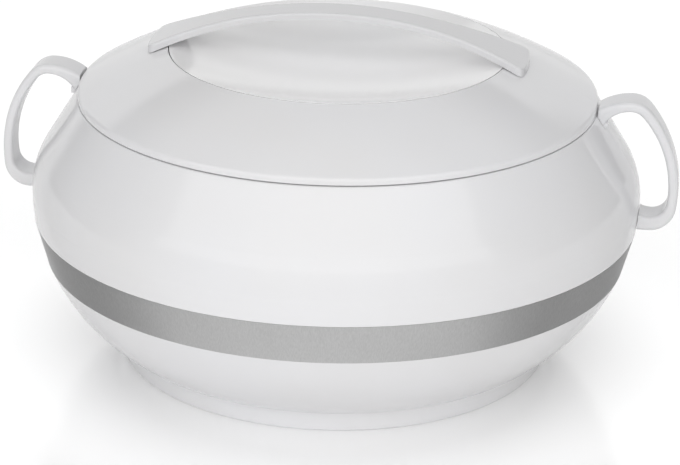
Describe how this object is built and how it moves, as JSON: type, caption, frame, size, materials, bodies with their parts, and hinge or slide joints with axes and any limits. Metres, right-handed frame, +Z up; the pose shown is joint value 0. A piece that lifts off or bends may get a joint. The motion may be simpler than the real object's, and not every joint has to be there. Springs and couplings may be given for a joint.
{
  "type": "insulated casserole",
  "caption": "Round insulated serving casserole for flat breads, with a steel bowl, a metal band, loop side handles and a domed lift-off lid with a bar over a scooped recess.",
  "frame": {"origin": "centre of the ring that the foot stands on", "axes": "+X through the right-hand side handle and along the lid's bar, +Y to the back, +Z up"},
  "size_m": [0.2918, 0.26, 0.1517],
  "materials": {
    "shell_white": "glossy moulded",
    "inner_white": "satin moulded",
    "satin_band": "satin, fine grain",
    "bowl_steel": "spun and polished",
    "foam": "rigid foam",
    "screw_steel": "plated"
  },
  "bodies": {
    "pot": {"outer_body": "shell_white", "base_cover": "shell_white", "base_plug": "inner_white", "trim_band": "satin_band", "inner_bowl": "bowl_steel", "rim_collar": "shell_white", "body_insulation": "foam", "handle_right": "shell_white", "handle_left": "shell_white", "handle_screws": "screw_steel"},
    "lid": {"lid_cover": "shell_white", "lid_dish": "shell_white", "lid_bar": "shell_white", "lid_liner": "inner_white", "lid_insulation": "foam", "lid_plug": "inner_white", "lid_bar_screws": "screw_steel"}
  },
  "joints": [
    {"name": "lid_lift", "type": "slide", "parent": "pot", "child": "lid", "axis": [0, 0, 1], "range_m": [0, 0.09]}
  ]
}
